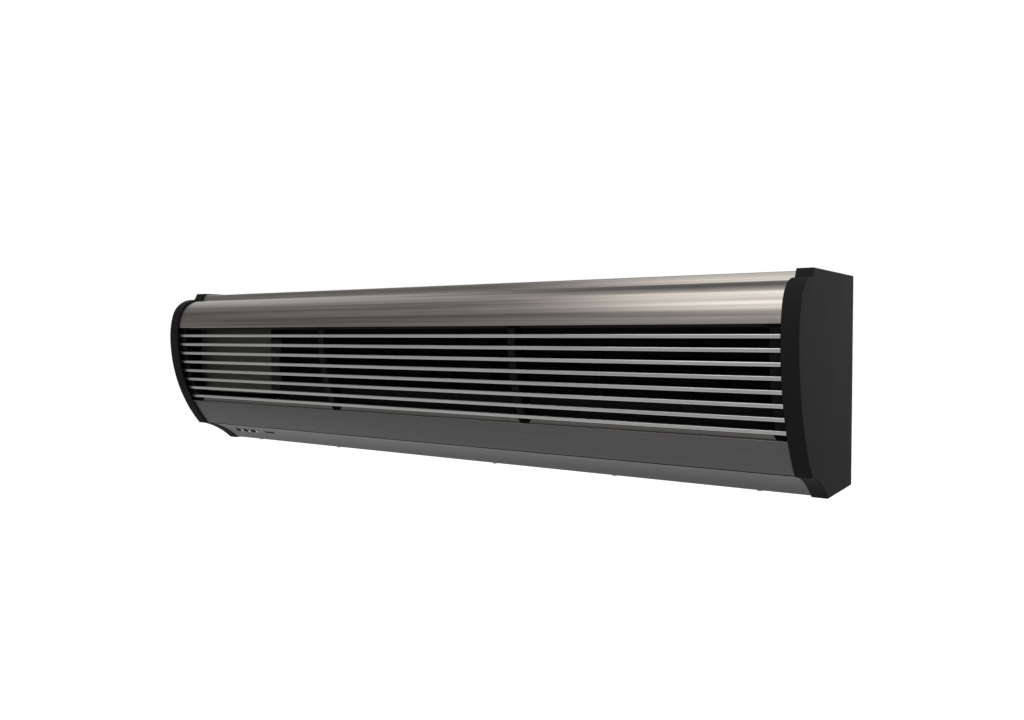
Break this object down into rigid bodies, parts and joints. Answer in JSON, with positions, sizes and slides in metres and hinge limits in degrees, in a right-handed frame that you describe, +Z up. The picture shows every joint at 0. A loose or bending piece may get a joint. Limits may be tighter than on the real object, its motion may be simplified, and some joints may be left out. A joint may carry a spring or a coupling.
{
  "type": "air curtain",
  "caption": "Wall-mounted air curtain: slatted front intake, cross-flow fan, and a slot in the underside that blows a sheet of air down.",
  "frame": {"origin": "centre of the wall plate's four bolt holes, on the wall's surface", "axes": "+X along the body to the right as seen from the front, -Y out of the wall, +Z up"},
  "size_m": [0.9, 0.194, 0.219],
  "materials": {
    "galvanised_steel": "zinc-coated sheet steel, faint spangle",
    "grey_coated_steel": "dark satin coating",
    "black_abs": "moulded, fine texture",
    "brushed_panel": "brushed lengthways, anodised",
    "anodised_aluminium": "satin anodised",
    "black_nylon": "satin",
    "rubber": "matte",
    "bearing_steel": "ground",
    "copper_windings": "enamelled wire and laminations",
    "sintered_bronze": "oiled, porous",
    "die_cast_aluminium": "as cast",
    "white_nylon": "matte",
    "clear_lens": "glossy dome",
    "smoked_window": "glossy",
    "circuit_board": "solder mask",
    "white_polypropylene": "smooth",
    "wire_pvc": "PVC sleeve",
    "zinc_plated_steel": "zinc plated"
  },
  "bodies": {
    "housing": {"wall_plate": "galvanised_steel", "rear_chassis": "galvanised_steel", "end_plate_left": "grey_coated_steel", "end_plate_right": "grey_coated_steel", "partition_plate": "grey_coated_steel", "compartment_cover": "grey_coated_steel", "compartment_floor": "grey_coated_steel", "scroll_casing": "grey_coated_steel", "scroll_tongue": "grey_coated_steel", "end_cap_left": "black_abs", "end_cap_right": "black_abs", "top_cover": "brushed_panel", "lower_front_panel": "brushed_panel", "cove_panel": "brushed_panel", "bottom_rail": "anodised_aluminium", "grille_slat_1": "anodised_aluminium", "grille_slat_2": "anodised_aluminium", "grille_slat_3": "anodised_aluminium", "grille_slat_4": "anodised_aluminium", "grille_slat_5": "anodised_aluminium", "grille_slat_6": "anodised_aluminium", "grille_slat_7": "anodised_aluminium", "grille_slat_8": "anodised_aluminium", "grille_rib_1": "black_abs", "grille_rib_2": "black_abs", "grille_rib_3": "black_abs", "grille_rib_4": "black_abs", "bearing_rubber": "rubber", "bearing_bush": "sintered_bronze", "motor_stator": "copper_windings", "motor_can": "galvanised_steel", "motor_end_left": "die_cast_aluminium", "motor_end_right": "die_cast_aluminium", "motor_bearings": "bearing_steel", "motor_rubber_rings": "rubber", "motor_bracket": "galvanised_steel", "motor_clamps": "galvanised_steel", "vane_bushes": "white_nylon", "indicator_leds": "clear_lens", "receiver_window": "smoked_window", "control_board": "circuit_board", "board_spacers": "white_nylon", "terminal_block": "white_nylon", "run_capacitor": "white_polypropylene", "wire_loom": "wire_pvc", "cable_grommet": "rubber", "cover_screws": "zinc_plated_steel", "cap_screws": "zinc_plated_steel", "sheet_screws": "zinc_plated_steel", "panel_screws": "zinc_plated_steel", "motor_screws": "zinc_plated_steel"},
    "fan": {"fan_wheel": "black_nylon", "drive_hub": "rubber", "stub_shaft": "bearing_steel", "motor_shaft": "bearing_steel", "motor_rotor": "bearing_steel"},
    "vane": {"guide_vane": "anodised_aluminium"},
    "button_a": {"button_1": "black_nylon"},
    "button_b": {"button_2": "black_nylon"},
    "button_c": {"button_3": "black_nylon"}
  },
  "joints": [
    {"name": "fan_spin", "type": "hinge", "parent": "housing", "child": "fan", "pos_m": [0, -0.092, -0.0121], "axis": [1, 0, 0], "continuous": true},
    {"name": "vane_tilt", "type": "hinge", "parent": "housing", "child": "vane", "pos_m": [0, -0.0595, -0.104], "axis": [1, 0, 0], "range_deg": [-30, 30]},
    {"name": "button_a_press", "type": "slide", "parent": "housing", "child": "button_a", "axis": [0, 0.495, 0.8689], "range_m": [0, 0.0008], "stiffness_N_per_m": 400, "springref_m": -0.0005},
    {"name": "button_b_press", "type": "slide", "parent": "housing", "child": "button_b", "axis": [0, 0.495, 0.8689], "range_m": [0, 0.0008], "stiffness_N_per_m": 400, "springref_m": -0.0005},
    {"name": "button_c_press", "type": "slide", "parent": "housing", "child": "button_c", "axis": [0, 0.495, 0.8689], "range_m": [0, 0.0008], "stiffness_N_per_m": 400, "springref_m": -0.0005}
  ]
}
